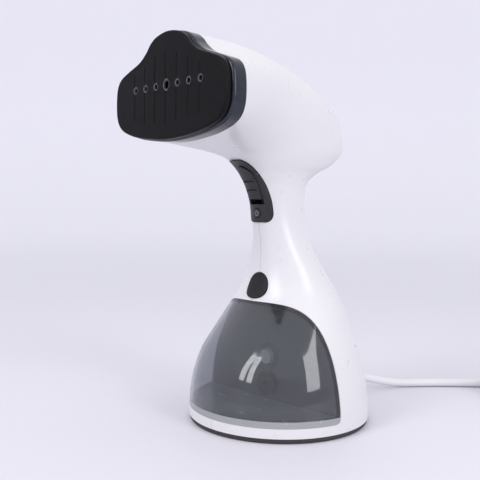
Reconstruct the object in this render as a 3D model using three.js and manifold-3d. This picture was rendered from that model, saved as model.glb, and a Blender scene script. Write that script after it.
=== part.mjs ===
// Handheld garment steamer: white clam-shell body with a pistol neck, a lobed steam head,
// a smoked water tank that slides off the front, a trigger module and a free mains cord.
// Millimetres, +Z up. The steam plate faces -Y, X = 0 is the symmetry plane,
// and the origin is the centre of the flat foot.
import * as THREE from 'three';
import { mergeVertices } from 'three/addons/utils/BufferGeometryUtils.js';
import Module from 'manifold-3d';

const wasm = await Module();
wasm.setup();

// ---- driving dimensions ----
const WALL = 2.2;            // housing wall
const GAP = 0.35;            // clearance between neighbouring pieces
const TANK_WALL = 1.8;
const FOOT_R = 60;
const FOOT_TOP = 3;
const BAY_FLOOR = 9.3;       // top of the ledge that carries the tank
const BAY_BACK = -8;         // the tank's back wall stands at this Y
const BAY_TOP = 81;          // height of the tank's top edge at the front
const VALVE_Z = 24;          // tank outlet axis
const PLUG_Z = 42;           // tank filler axis
const PLATE_FACE = -98;      // front of the steam plate
const MOUTH = -84;           // front edge of the housing
const HEAD_Z = 211.4;        // height of the row of steam holes
const PLATE_HALF_W = 51.8;
const PLATE_HALF_H = 31.4;
const HOLE_PITCH = 10;
const CORD_R = 3;
const CORD_EXIT_Z = 12.5;
const BUTTON_Z = 90.3;       // tank release button
const PUMP_Y = 9;            // pump axis

// ---- looks: colour, roughness, metalness ----
const LOOKS = {
  white: [0xf0eef2, 0.32, 0], navy: [0x1c2029, 0.2, 0], plate: [0x151518, 0.5, 0.2],
  rubber: [0x111113, 0.8, 0], foot: [0x1f1c1f, 0.6, 0], smoke: [0x3c4048, 0.12, 0],
  clear: [0xa8adb0, 0.15, 0], dark: [0x2b2b2f, 0.5, 0], black: [0x141316, 0.45, 0],
  metal: [0xb8babd, 0.35, 1], steel: [0xc4c6c9, 0.25, 1], copper: [0xb06a3b, 0.4, 1],
  board: [0x1d5a34, 0.5, 0], silicone: [0xdcdad2, 0.5, 0], red: [0x9c2a26, 0.5, 0],
  blue: [0x27417c, 0.5, 0], cord: [0xe9e8ec, 0.45, 0],
};
const steamer = new THREE.Group();

function place(name, look, geometry, position = [0, 0, 0]) {
  const [color, roughness, metalness] = LOOKS[look];
  const mesh = new THREE.Mesh(geometry, new THREE.MeshStandardMaterial({ color, roughness, metalness }));
  mesh.name = name;
  mesh.position.set(...position);
  steamer.add(mesh);
  return mesh;
}

// ---- solids and booleans ----
function solid(geometry) {
  const bare = geometry.clone();
  bare.deleteAttribute('normal');
  bare.deleteAttribute('uv');
  const merged = mergeVertices(bare, 1e-5);
  const vertProperties = Float32Array.from(merged.attributes.position.array);
  const triVerts = Uint32Array.from(merged.index.array);
  return new wasm.Manifold(new wasm.Mesh({ numProp: 3, vertProperties, triVerts }));
}

function surface(manifold) {
  const mesh = manifold.getMesh();
  const geometry = new THREE.BufferGeometry();
  geometry.setAttribute('position', new THREE.BufferAttribute(mesh.vertProperties, 3));
  geometry.setIndex(new THREE.BufferAttribute(mesh.triVerts, 1));
  return geometry;
}

const box = (w, d, h, x = 0, y = 0, z = 0) => new THREE.BoxGeometry(w, d, h).translate(x, y, z);

// A turned piece: [radius, height] pairs, its axis along Z, X or Y.
function turned(profile, axis = 'z', at = [0, 0, 0], segments = 20) {
  const points = profile.map(([r, h]) => new THREE.Vector2(r, h));
  const geometry = new THREE.LatheGeometry(points, segments);
  if (axis === 'z') geometry.rotateX(Math.PI / 2);
  if (axis === 'x') geometry.rotateZ(-Math.PI / 2);
  return geometry.translate(...at);
}

const rodProfile = (r, from, to) => [[0, from], [r, from], [r, to], [0, to]];
const tubeProfile = (inner, outer, from, to) =>
  [[inner, from], [outer, from], [outer, to], [inner, to], [inner, from]];
const rod = (r, from, to, axis, at, segments) => turned(rodProfile(r, from, to), axis, at, segments);
const tube = (inner, outer, from, to, axis, at, segments) =>
  turned(tubeProfile(inner, outer, from, to), axis, at, segments);

// A round bar along a smooth route.
function bar(route, radius, steps, sides = 8) {
  const curve = new THREE.CatmullRomCurve3(route.map((p) => new THREE.Vector3(...p)), false, 'centripetal');
  const section = new THREE.Shape();
  for (let i = 0; i < sides; i += 1) {
    const angle = (2 * Math.PI * i) / sides;
    const point = [radius * Math.cos(angle), radius * Math.sin(angle)];
    if (i === 0) section.moveTo(...point);
    else section.lineTo(...point);
  }
  return new THREE.ExtrudeGeometry(section, { steps, extrudePath: curve });
}

// A coil spring of closed wire, its axis along Z from 0 to length.
function spring(radius, wire, length, turns) {
  const route = [];
  const perTurn = 8;
  for (let i = 0; i <= turns * perTurn; i += 1) {
    const angle = (2 * Math.PI * i) / perTurn;
    const height = (length * i) / (turns * perTurn);
    route.push([radius * Math.cos(angle), radius * Math.sin(angle), height]);
  }
  return bar(route, wire, turns * perTurn, 5);
}

// ---- outlines ----
// Right half of the steam plate's bell outline, from the top lobe down to the bottom centre.
const BELL = [[0, 31.2], [10, 29.6], [16, 26.3], [20.8, 21.3], [27.5, 16.6], [38, 12.8], [46.6, 9],
  [50.6, 3.6], [51.8, -5], [51.2, -14.5], [48, -21], [41, -25.4], [26, -29.3], [0, -31.6]];

function bellPoints(count) {
  const mirrored = BELL.slice(1, -1).reverse().map(([x, z]) => [-x, z]);
  const loop = [...BELL, ...mirrored].map(([x, z]) => new THREE.Vector3(x, z, 0));
  return new THREE.CatmullRomCurve3(loop, true, 'catmullrom', 0.5).getPoints(count).slice(0, count);
}

// Bell-shaped slab between two Y stations, scaled about the row of holes.
function bellSlab(scale, front, back, count = 44) {
  const shape = new THREE.Shape(bellPoints(count).map((p) => new THREE.Vector2(p.x * scale, p.y * scale)));
  const geometry = new THREE.ExtrudeGeometry(shape, { depth: back - front, bevelEnabled: false });
  return geometry.rotateX(Math.PI / 2).translate(0, back, HEAD_Z);
}

// A shape drawn in the X-Z plane and pushed through along Y.
function frontPrism(shape, front, back) {
  const geometry = new THREE.ExtrudeGeometry(shape, { depth: back - front, bevelEnabled: false, curveSegments: 4 });
  return geometry.rotateX(Math.PI / 2).translate(0, back, 0);
}

// ---- body surface ----
// Each station is a section in a plane that holds the X direction and a chord of the side view:
// [front y, front z, back y, back z, half width, roundness, share of the bell outline].
const STATIONS = [
  [-60.7, 3.3, 60.7, 3.3, 60.7, 2, 0],
  [-60.5, 12, 60.5, 12, 60.5, 2, 0],
  [-60, 20, 60, 20, 60, 2, 0],
  [-57.6, 32, 57.2, 32, 58, 2, 0],
  [-52.1, 46, 53.5, 46, 54.2, 2, 0],
  [-42, 60, 50, 60, 48.5, 2, 0],
  [-31.3, 74, 44.3, 74, 42, 2, 0],
  [-22.5, 88, 37.5, 88, 34, 2, 0],
  [-19, 102, 29, 102, 27, 2, 0],
  [-18.8, 116, 23.2, 116, 20, 2, 0],
  [-20.7, 130, 19.7, 130, 16.3, 2, 0],
  [-22.6, 144, 18.2, 144, 15.2, 2, 0],
  [-27, 155, 20, 158, 15.8, 2, 0],
  [-31.5, 162, 30, 166, 18, 2.1, 0],
  [-35, 166, 47, 174, 21, 2.2, 0],
  [-39, 169.2, 56.5, 186, 24, 2.2, 0],
  [-43, 171.5, 50, 204, 26, 2.2, 0],
  [-47, 173.2, 30, 219.5, 28.5, 2.2, 0],
  [-54, 174.8, 5, 230, 31.5, 2.2, 0.05],
  [-62, 176.2, -22, 237.5, 36, 2.2, 0.15],
  [-71, 177.6, -50, 242, 42, 2.3, 0.4],
  [-79, 179, -71, 243, 47.5, 2.3, 0.8],
  [MOUTH, 180.2, MOUTH, 242.4, 50.4, 2.3, 1],
];

// Catmull-Rom blend of the station table at a fractional station number.
function stationAt(t) {
  const last = STATIONS.length - 1;
  const start = Math.min(Math.floor(t), last - 1);
  const f = t - start;
  const [a, b, c, d] = [-1, 0, 1, 2].map((k) => STATIONS[Math.min(Math.max(start + k, 0), last)]);
  return b.map((_, i) => 0.5 * (2 * b[i] + (c[i] - a[i]) * f
    + (2 * a[i] - 5 * b[i] + 4 * c[i] - d[i]) * f * f + (3 * b[i] - a[i] - 3 * c[i] + d[i]) * f ** 3));
}

// Radius of the bell outline in a unit box, by polar angle.
const bellPolar = bellPoints(360)
  .map((p) => [Math.atan2(p.y / PLATE_HALF_H, p.x / PLATE_HALF_W), Math.hypot(p.y / PLATE_HALF_H, p.x / PLATE_HALF_W)])
  .sort((p, q) => p[0] - q[0]);

function bellRadius(angle) {
  const wrapped = Math.atan2(Math.sin(angle), Math.cos(angle));
  const next = bellPolar.findIndex((p) => p[0] > wrapped);
  if (next <= 0) return bellPolar[0][1];
  const [p, q] = [bellPolar[next - 1], bellPolar[next]];
  return p[1] + ((q[1] - p[1]) * (wrapped - p[0])) / (q[0] - p[0]);
}

// One ring of points on the body surface, moved in by inset.
function bodyRing(t, inset, count) {
  const [yf, zf, yb, zb, halfWidth, power, bell] = stationAt(t);
  const chord = Math.hypot(yb - yf, zb - zf);
  const scale = 1 - (2 * inset) / chord;
  const middle = [(yf + yb) / 2, (zf + zb) / 2];
  const reach = [((yb - yf) / 2) * scale, ((zb - zf) / 2) * scale];
  const ring = [];
  for (let i = 0; i < count; i += 1) {
    const angle = (2 * Math.PI * i) / count;
    const [c, s] = [Math.cos(angle), Math.sin(angle)];
    const round = (Math.abs(c) ** power + Math.abs(s) ** power) ** (-1 / power);
    const r = bell > 0 ? (1 - bell) * round + bell * bellRadius(angle) : round;
    ring.push([(halfWidth - inset) * r * c, middle[0] + reach[0] * r * s, middle[1] + reach[1] * r * s]);
  }
  return ring;
}

// Closed skin through a list of rings, with a fan of triangles over each end.
function skin(rings) {
  const count = rings[0].length;
  const centre = (ring) => ring.reduce((sum, p) => sum.map((v, i) => v + p[i] / count), [0, 0, 0]);
  const vertices = [...rings.flat(), centre(rings[0]), centre(rings.at(-1))];
  const index = [];
  for (let k = 0; k + 1 < rings.length; k += 1) {
    for (let i = 0; i < count; i += 1) {
      const j = (i + 1) % count;
      const [a, b, c, d] = [k * count + i, k * count + j, (k + 1) * count + j, (k + 1) * count + i];
      index.push(a, b, c, a, c, d);
    }
  }
  const lastRing = (rings.length - 1) * count;
  for (let i = 0; i < count; i += 1) {
    const j = (i + 1) % count;
    index.push(vertices.length - 2, j, i, vertices.length - 1, lastRing + i, lastRing + j);
  }
  const geometry = new THREE.BufferGeometry();
  geometry.setAttribute('position', new THREE.Float32BufferAttribute(vertices.flat(), 3));
  geometry.setIndex(index);
  return geometry;
}

// The body solid between two stations; overrun pushes its open ends past them.
function body(inset, { from = 0, to = STATIONS.length - 1, perStation = 1.25, count = 32, overrun = 0 } = {}) {
  const steps = Math.round((to - from) * perStation);
  const rings = [];
  for (let k = 0; k <= steps; k += 1) rings.push(bodyRing(from + ((to - from) * k) / steps, inset, count));
  if (overrun > 0) {
    rings.unshift(rings[0].map(([x, y, z]) => [x, y, z - overrun]));
    rings.push(rings.at(-1).map(([x, y, z]) => [x, y - overrun, z]));
  }
  return solid(skin(rings));
}

// ---- tank bay ----
// Side view of everything in front of the tank's back wall, moved back by shift.
// It stands on the ledge, rises along the back wall and bends forward to the tank's top edge.
function bayPrism(shift, floor = BAY_FLOOR) {
  const back = BAY_BACK + shift;
  const cornerR = 4;
  const bend = 52;
  const front = -90;
  const shape = new THREE.Shape();
  shape.moveTo(front, floor);
  shape.lineTo(back - cornerR, floor);
  shape.quadraticCurveTo(back, floor, back, floor + cornerR);
  shape.lineTo(back, bend);
  shape.quadraticCurveTo(back, BAY_TOP + shift, back - 20, BAY_TOP + shift);
  shape.lineTo(front, BAY_TOP + shift);
  const geometry = new THREE.ExtrudeGeometry(shape, { depth: 150, bevelEnabled: false, curveSegments: 8 });
  const upright = new THREE.Matrix4().makeBasis(
    new THREE.Vector3(0, 1, 0), new THREE.Vector3(0, 0, 1), new THREE.Vector3(1, 0, 0));
  return solid(geometry.applyMatrix4(upright).translate(-75, 0, 0));
}

// ---- trigger module outline in front view ----
function moduleShape(grow) {
  const top = 171.5 + grow;
  const bottom = 132.5 - grow;
  const shape = new THREE.Shape();
  shape.moveTo(-5.5, bottom);
  shape.lineTo(5.5, bottom);
  shape.quadraticCurveTo(9.2 + grow, bottom + 0.4, 9.4 + grow, bottom + 6);
  shape.quadraticCurveTo(9 + grow, 158, 7.4 + grow, 167);
  shape.quadraticCurveTo(6.4 + grow, top, 3.4, top);
  shape.lineTo(-3.4, top);
  shape.quadraticCurveTo(-6.4 - grow, top, -7.4 - grow, 167);
  shape.quadraticCurveTo(-9 - grow, 158, -9.4 - grow, bottom + 6);
  shape.quadraticCurveTo(-9.2 - grow, bottom + 0.4, -5.5, bottom);
  return shape;
}

// Trigger outline: straight bottom, round top; bottom is the height of its lower edge.
function triggerShape(grow, bottom) {
  const half = 5.8 + grow;
  const shoulder = 161.5;
  const shape = new THREE.Shape();
  shape.moveTo(-half, bottom);
  shape.lineTo(half, bottom);
  shape.lineTo(half, shoulder);
  shape.absarc(0, shoulder, half, 0, Math.PI, false);
  return shape;
}

// Release button outline: an egg with a flatter bottom.
function buttonShape(grow) {
  const [halfWide, up, down] = [8.4 + grow, 8.8 + grow, 7.6 + grow];
  const shape = new THREE.Shape();
  shape.moveTo(0, BUTTON_Z - down);
  shape.bezierCurveTo(halfWide, BUTTON_Z - down, halfWide + 0.6, BUTTON_Z - 3, halfWide, BUTTON_Z);
  shape.bezierCurveTo(halfWide - 0.6, BUTTON_Z + 5, 5, BUTTON_Z + up, 0, BUTTON_Z + up);
  shape.bezierCurveTo(-5, BUTTON_Z + up, -halfWide + 0.6, BUTTON_Z + 5, -halfWide, BUTTON_Z);
  shape.bezierCurveTo(-halfWide - 0.6, BUTTON_Z - 3, -halfWide, BUTTON_Z - down, 0, BUTTON_Z - down);
  return shape;
}

// ---- housing ----
const SCREW_SPOTS = [[37, -37], [-37, -37], [38, 38], [-38, 38]];

function housing() {
  const outer = body(0);
  const shell = outer.subtract(body(WALL, { perStation: 1, count: 24, overrun: 2 }));
  const bay = bayPrism(0);
  const partition = body(WALL / 2, { perStation: 1, count: 28 }).intersect(bayPrism(WALL, BAY_FLOOR - WALL)).subtract(bay);
  let whole = shell.subtract(bay).add(partition);
  SCREW_SPOTS.forEach(([x, y]) => {
    const top = y < 0 ? BAY_FLOOR - 1 : 16;
    const boss = rod(y < 0 ? 3.6 : 5.2, FOOT_TOP + 0.4, top, 'z', [x, y, 0], 12);
    whole = whole.add(solid(boss).intersect(outer));
  });
  SCREW_SPOTS.forEach(([x, y]) => {
    whole = whole.subtract(solid(rod(1.5, 0, BAY_FLOOR - 1.6, 'z', [x, y, 0], 8)));
  });
  const cuts = [
    frontPrism(moduleShape(GAP), -60, -6),
    frontPrism(buttonShape(GAP), -60, 0),
    rod(7.6, -20, 0, 'y', [0, BAY_BACK + 10, VALVE_Z]),
    rod(8.6, -20, 0, 'y', [0, BAY_BACK + 10, PLUG_Z]),
    rod(5.4, 40, 80, 'y', [0, 0, CORD_EXIT_Z], 20),
  ];
  cuts.forEach((cut) => {
    whole = whole.subtract(solid(cut));
  });
  return whole;
}

function addHousing() {
  const whole = housing();
  const halfGap = 0.15;
  [['housing_left', -1], ['housing_right', 1]].forEach(([name, side]) => {
    const half = solid(box(100, 300, 300, side * (50 + halfGap), 0, 140));
    place(name, 'white', surface(whole.intersect(half)));
  });
}

// ---- foot ----
function addFoot() {
  const disc = turned([[0, 0], [FOOT_R - 1.2, 0], [FOOT_R - 0.3, 0.8], [FOOT_R, FOOT_TOP], [0, FOOT_TOP]],
    'z', [0, 0, 0], 48);
  let cover = solid(disc);
  SCREW_SPOTS.forEach(([x, y]) => {
    cover = cover.subtract(solid(rod(3.4, -1, 1.6, 'z', [x, y, 0], 12)));
    cover = cover.subtract(solid(rod(1.5, -1, 4, 'z', [x, y, 0], 8)));
  });
  place('foot_cover', 'foot', surface(cover));
  SCREW_SPOTS.forEach(([x, y], i) => {
    const head = turned([[0, 0.3], [2.9, 0.3], [2.9, 1.3], [1.1, 1.3], [1.1, 7], [0, 7]], 'z', [0, 0, 0], 8);
    place(`foot_screw_${i + 1}`, 'steel', head, [x, y, 0]);
  });
}

// ---- water tank ----
function addTank() {
  const rim = 13.6;
  const to = 9;
  const outer = body(0, { to }).intersect(bayPrism(-GAP));
  const inner = body(TANK_WALL, { to, perStation: 1, count: 24, overrun: 2 })
    .intersect(bayPrism(-GAP - TANK_WALL, 0));
  const above = solid(box(150, 150, 100, 0, 0, rim + 50 + GAP / 2));
  const below = solid(box(150, 150, rim - GAP / 2 - BAY_FLOOR - GAP, 0, 0, (rim - GAP / 2 + BAY_FLOOR + GAP) / 2));
  let shell = outer.subtract(inner).intersect(above);
  [[VALVE_Z, 6.3], [PLUG_Z, 5.4]].forEach(([z, r]) => {
    shell = shell.subtract(solid(rod(r, BAY_BACK - 6, BAY_BACK + 4, 'y', [0, 0, z])));
  });
  place('tank_shell', 'smoke', surface(shell));
  place('tank_floor', 'clear', surface(outer.intersect(below)));
  const back = BAY_BACK - GAP;
  place('tank_plug', 'silicone',
    turned([[0, back - 5], [5, back - 5], [5, back + 0.3], [7.2, back + 0.3], [7.2, back + 2.2], [0, back + 2.2]],
      'y', [0, 0, PLUG_Z]));
}

// ---- tank valve and its socket ----
function addValve() {
  const wallFront = BAY_BACK - GAP - TANK_WALL;
  const nose = 3;
  place('valve_body', 'dark', turned([
    [1.6, wallFront - 2.4], [8, wallFront - 2.4], [8, wallFront - 0.3], [5.9, wallFront - 0.3], [5.9, -1],
    [5, -1], [5, 1], [5.9, 1], [5.9, nose], [2.2, nose], [2.2, nose - 1.4], [3.2, nose - 1.4],
    [3.2, wallFront - 1.2], [1.6, wallFront - 1.2], [1.6, wallFront - 2.4]], 'y', [0, 0, VALVE_Z]));
  place('tank_seal', 'rubber', tube(5.3, 6.5, -0.7, 0.7, 'y', [0, 0, VALVE_Z]));
  place('valve_poppet', 'black', turned([
    [0, -11], [1.1, -11], [1.1, -1.6], [2.8, -1.6], [2.8, -0.6], [1.6, 1.2], [1.6, 5], [0, 5]],
  'y', [0, 0, VALVE_Z], 16));
  const coil = spring(2.2, 0.35, 8, 4).rotateX(Math.PI / 2);
  place('valve_spring', 'steel', coil, [0, -2.4, VALVE_Z]);
  place('tank_socket', 'dark', turned([
    [6.9, BAY_BACK + WALL + 0.4], [9.8, BAY_BACK + WALL + 0.4], [9.8, BAY_BACK + WALL + 2.4], [8.4, BAY_BACK + WALL + 2.4],
    [8.4, 10], [2.4, 10], [2.4, 16], [1.4, 16], [1.4, 8], [6.9, 8], [6.9, BAY_BACK + WALL + 0.4]],
  'y', [0, 0, VALVE_Z]));
}

// ---- pump ----
function addPump() {
  const at = [0, PUMP_Y, 0];
  place('pump_body', 'dark', turned([[1.4, 78], [2.4, 78], [2.4, 84], [6, 84], [6, 110], [2.4, 110], [2.4, 116],
    [1.4, 116], [1.4, 108], [4.4, 108], [4.4, 86], [1.4, 86], [1.4, 78]], 'z', at));
  place('pump_coil', 'copper', tube(6.4, 10.5, 90, 104, 'z', at));
  place('pump_plunger', 'steel', tube(1.2, 4.1, 89, 101, 'z', at, 16));
  place('pump_spring', 'steel', spring(3.2, 0.35, 5, 3), [at[0], at[1], 101.8]);
  const frame = solid(box(22, 24, 18, 0, PUMP_Y, 97)).subtract(solid(box(24, 21.4, 14.8, 0, PUMP_Y, 97)));
  const bore = solid(rod(6.4, 80, 120, 'z', at));
  place('pump_bracket', 'metal', surface(frame.subtract(bore)));
  place('inlet_tube', 'silicone', bar(
    [[0, 16.5, VALVE_Z], [0, 22, VALVE_Z + 1], [0, 26, 32], [0, 24, 48], [0, 15, 62], [0, 10, 70], [0, PUMP_Y, 77.5]],
    2.4, 14, 8));
  place('outlet_tube', 'silicone', bar(
    [[0, PUMP_Y, 116.5], [0, 8, 126], [0, 5.5, 140], [0, 4, 156], [0, 0, 172], [0, -12, 186], [0, -34, 196],
      [0, -58, 203], [0, -68, 205.5], [0, -76.5, 206]], 2.4, 20, 8));
}

// ---- steam head ----
const HOLE_X = [-3, -2, -1, 0, 1, 2, 3].map((i) => i * HOLE_PITCH);
const holeRadius = (x) => (x === 0 ? 2.5 : 1.6);

function drilled(block, front, back, extra = 0) {
  return HOLE_X.reduce((piece, x) =>
    piece.subtract(solid(rod(holeRadius(x) + extra, front, back, 'y', [x, 0, HEAD_Z], 10))), block);
}

function addHead() {
  const plateBack = PLATE_FACE + 3.2;
  const frameFront = plateBack + 1.2;
  const frameBack = MOUTH - 0.35;
  const rimShape = new THREE.Shape(bellPoints(44).map((p) => new THREE.Vector2(p.x * 0.968, p.y * 0.958)));
  const bevel = { depth: 1.4, bevelEnabled: true, bevelThickness: 0.9, bevelSize: 0.9, bevelSegments: 1 };
  const plateBlank = new THREE.ExtrudeGeometry(rimShape, bevel)
    .rotateX(Math.PI / 2).translate(0, PLATE_FACE + 2.3, HEAD_Z);
  let plate = drilled(solid(plateBlank), PLATE_FACE - 1, plateBack + 1);
  HOLE_X.forEach((x, i) => {
    const top = HEAD_Z + [8, 12, 16, 18, 16, 12, 8][i];
    const bottom = HEAD_Z - [17, 19, 20, 20.5, 20, 19, 17][i];
    const groove = mergeSolids([
      box(2.4, 1.2, top - bottom, x, PLATE_FACE, (top + bottom) / 2),
      rod(1.2, PLATE_FACE - 0.6, PLATE_FACE + 0.6, 'y', [x, 0, bottom], 8),
      rod(1.2, PLATE_FACE - 0.6, PLATE_FACE + 0.6, 'y', [x, 0, top], 8)]);
    plate = plate.subtract(groove);
  });
  place('steam_plate', 'plate', surface(plate));
  place('plate_gasket', 'rubber', surface(
    solid(bellSlab(0.955, plateBack + 0.3, frameFront - 0.3)).subtract(solid(bellSlab(0.87, -100, -80)))));
  place('head_frame', 'navy', surface(
    solid(bellSlab(1.01, frameFront, frameBack)).subtract(solid(bellSlab(0.93, -100, -80)))));
  const pocket = solid(box(66, 10, 24, 0, -82, HEAD_Z - 2));
  const chamber = drilled(solid(bellSlab(0.8, frameFront, -81)).subtract(pocket), -100, -70, -0.3);
  place('steam_chamber', 'metal', surface(chamber));
  const inlet = solid(rod(1.4, -90, -70, 'y', [0, 0, 206], 12));
  place('chamber_cover', 'metal', surface(solid(bellSlab(0.78, -80.7, -78.9, 40)).subtract(inlet)));
  place('heating_element', 'steel', bar(
    [[-12, -70, 224], [-22, -75.5, 222], [-30, -75.5, 214], [-30, -75.5, 202], [-20, -75.5, 193.5],
      [0, -75.5, 192], [20, -75.5, 193.5], [30, -75.5, 202], [30, -75.5, 214], [22, -75.5, 222], [12, -70, 224]],
    2.6, 26, 8));
  place('thermostat', 'dark', rod(6.2, -78.6, -73.5, 'y', [14, 0, 209], 20));
  place('thermal_fuse', 'silicone', rod(2.2, -20, -7, 'x', [0, -75.9, 215], 12));
  const shield = solid(box(70, 1.2, 46, 0, -66, 209)).intersect(body(WALL + 1, { from: 13, count: 32 }));
  place('heat_shield', 'metal', surface(shield.subtract(solid(rod(4, -80, -50, 'y', [0, 0, 205.3], 16)))));
}

function mergeSolids(geometries) {
  return geometries.map(solid).reduce((sum, next) => sum.add(next));
}

// ---- trigger module ----
const PIVOT = { y: -29.5, z: 163.5 };

function addTriggerModule() {
  const gripBottom = 147.2;
  const range = { from: 8, to: 16 };
  const band = (outset, inset) => body(-outset, range).subtract(body(inset, range));
  const bezelBlank = band(1.3, 2.4).intersect(solid(frontPrism(moduleShape(0), -60, -8)));
  let bezel = bezelBlank.subtract(solid(frontPrism(triggerShape(GAP, 144), -60, 0)));
  bezel = bezel.subtract(solid(rod(3.4, -60, 0, 'y', [0, 0, 138.2], 20)));
  [-1, 1].forEach((side) => {
    const cheek = solid(box(1.2, 6, 7, side * 6.9, PIVOT.y - 1, PIVOT.z));
    bezel = bezel.add(cheek.intersect(body(-1.3, range)));
  });
  bezel = bezel.subtract(solid(rod(3.3, -6.1, 6.1, 'x', [0, PIVOT.y, PIVOT.z], 16)));
  bezel = bezel.subtract(solid(rod(1.4, -12, 12, 'x', [0, PIVOT.y, PIVOT.z], 14)));
  place('trigger_bezel', 'dark', surface(bezel));
  let trigger = band(2.2, 4.6).intersect(solid(frontPrism(triggerShape(0, gripBottom), -60, -8)));
  const hub = solid(rod(2.9, -5.6, 5.6, 'x', [0, PIVOT.y, PIVOT.z], 16));
  trigger = trigger.add(hub).subtract(solid(rod(1.4, -12, 12, 'x', [0, PIVOT.y, PIVOT.z], 14)));
  [153, 158.5].forEach((z) => {
    trigger = trigger.subtract(solid(box(8.4, 1.6, 0.8, 0, -28.5 - (z - 153) * 0.56, z)));
  });
  place('steam_trigger', 'dark', surface(trigger));
  place('trigger_pin', 'steel', rod(1.05, -7.4, 7.4, 'x', [0, PIVOT.y, PIVOT.z], 12));
  place('power_button', 'dark', surface(
    body(-1.5, range).intersect(solid(rod(3.05, -40, -14, 'y', [0, 0, 138.2], 20)))));
  place('power_switch', 'black', box(7, 5, 7, 0, -9.8, 138.2));
  const pocket = solid(box(3.2, 4, 3.2, 0, -15, 149.5));
  place('micro_switch', 'black', surface(solid(box(6, 8.6, 11, 0, -11.7, 150.5)).subtract(pocket)));
  place('switch_plunger', 'red', box(2.4, 1.8, 2.4, 0, -17.65, 149.5));
  place('trigger_spring', 'steel', spring(1.7, 0.3, 3.6, 3).rotateX(Math.PI / 2), [0, -16.9, 154]);
}

// ---- tank release ----
function addRelease() {
  const range = { from: 6, to: 10 };
  const button = body(-0.9, range).subtract(body(3.4, range))
    .intersect(solid(frontPrism(buttonShape(0), -60, 0)));
  place('release_button', 'black', surface(button));
  const latch = mergeSolids([box(9, 8.5, 2.4, 0, -12.85, BUTTON_Z + 1), box(9, 2.2, 9, 0, -9.7, BUTTON_Z - 2.2),
    box(9, 3.4, 1.8, 0, -11.3, BUTTON_Z - 5.8)]);
  place('release_latch', 'dark', surface(latch));
  place('release_spring', 'steel', spring(2.2, 0.35, 4.1, 3).rotateX(Math.PI / 2), [0, -3.8, BUTTON_Z + 1]);
}

// ---- electronics and wiring ----
function addElectronics() {
  place('circuit_board', 'board', box(22, 36, 1.6, 0, 21, 190));
  place('board_relay', 'black', box(10, 14, 9, 0, 14, 195.7));
  place('board_capacitor', 'blue', rod(4.2, 26, 37, 'y', [0, 0, 195.4], 16));
  const wireRoute = (x) => [[x, 44, 17], [x, 44, 40], [x, 38, 62], [x, 29, 84], [x * 1.4, 24.6, 103],
    [x * 1.8, 17, 119], [x * 1.8, 12, 134], [x * 1.8, 11.5, 150], [x * 1.8, 13, 168], [x * 1.8, 15, 188.8]];
  place('wire_live', 'red', bar(wireRoute(3), 1, 20, 6));
  place('wire_neutral', 'blue', bar(wireRoute(-3), 1, 20, 6));
}

// ---- mains cord ----
// The cord leaves the back of the base, droops to the table and runs off to a storage coil.
const CORD_ROUTE = [[0, 83.4, 12.5], [0.6, 93, 11.3], [3, 104, 8.6], [7.5, 115, 5.8], [13.5, 126, 3.9],
  [20.5, 136.5, 3.3], [28.5, 147, 3.2], [37.5, 157, 3.2], [47, 166.5, 3.2], [56.5, 176, 3.2], [66, 185.5, 3.2]];
const COIL = { x: 111.3, y: 184.7, inner: 23.9, outer: 42.2, bottom: 0.2, top: 18.2 };
const PLUG = { x: 151, y: 148, z: 9 };

function addCord() {
  place('cord_clamp', 'white', surface(solid(box(22, 8, 9, 0, 48.6, CORD_EXIT_Z - 3.2))
    .subtract(solid(rod(3.3, 40, 60, 'y', [0, 0, CORD_EXIT_Z], 16)))
    .subtract(solid(box(6.6, 12, 10, 0, 48.6, CORD_EXIT_Z + 5)))));
  const boot = turned([[0, 53.4], [7, 53.4], [7, 56.4], [4.9, 56.8], [4.9, 64], [4.4, 72], [3.9, 83], [0, 83]],
    'y', [0, 0, CORD_EXIT_Z], 16);
  place('strain_relief', 'cord', boot);
  place('cord', 'cord', bar(CORD_ROUTE, CORD_R, 24, 8));
  place('cord_coil', 'cord', tube(COIL.inner, COIL.outer, COIL.bottom, COIL.top, 'z', [COIL.x, COIL.y, 0], 40));
  const face = new THREE.Shape();
  face.absellipse(0, 0, 12, 7.6, 0, 2 * Math.PI, false);
  const grip = new THREE.ExtrudeGeometry(face,
    { depth: 20, bevelEnabled: true, bevelThickness: 1.5, bevelSize: 1.2, bevelSegments: 1, curveSegments: 10 });
  const neck = turned([[0, -12], [3.4, -12], [5.2, -1], [5.2, 1], [0, 1]], 'z', [0, 0, 0], 16);
  const plugBody = mergeSolids([grip, neck]);
  const pose = new THREE.Matrix4().makeRotationX(Math.PI / 2).setPosition(PLUG.x, PLUG.y, PLUG.z);
  place('plug_body', 'cord', surface(plugBody).applyMatrix4(pose));
  [-1, 1].forEach((side) => {
    const pin = turned([[0, 21.9], [2, 21.9], [2, 38], [1.2, 40], [0, 40]], 'z', [side * 6.5, 0, 0], 12);
    place(side < 0 ? 'plug_pin_left' : 'plug_pin_right', 'steel', pin.applyMatrix4(pose));
  });
}

addHousing();
addFoot();
addTank();
addValve();
addPump();
addHead();
addTriggerModule();
addRelease();
addElectronics();
addCord();

export default steamer;
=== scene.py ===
"""Handheld garment steamer: the looks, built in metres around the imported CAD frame.

The body surface is a loft of sections in planes that hold the X direction and a chord of the side
view. The white shells, the tank, the bezel, the trigger and the buttons are all cut from that loft.
"""
import math
import bpy
import bmesh
import numpy as np
from mathutils import Matrix, Vector


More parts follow.
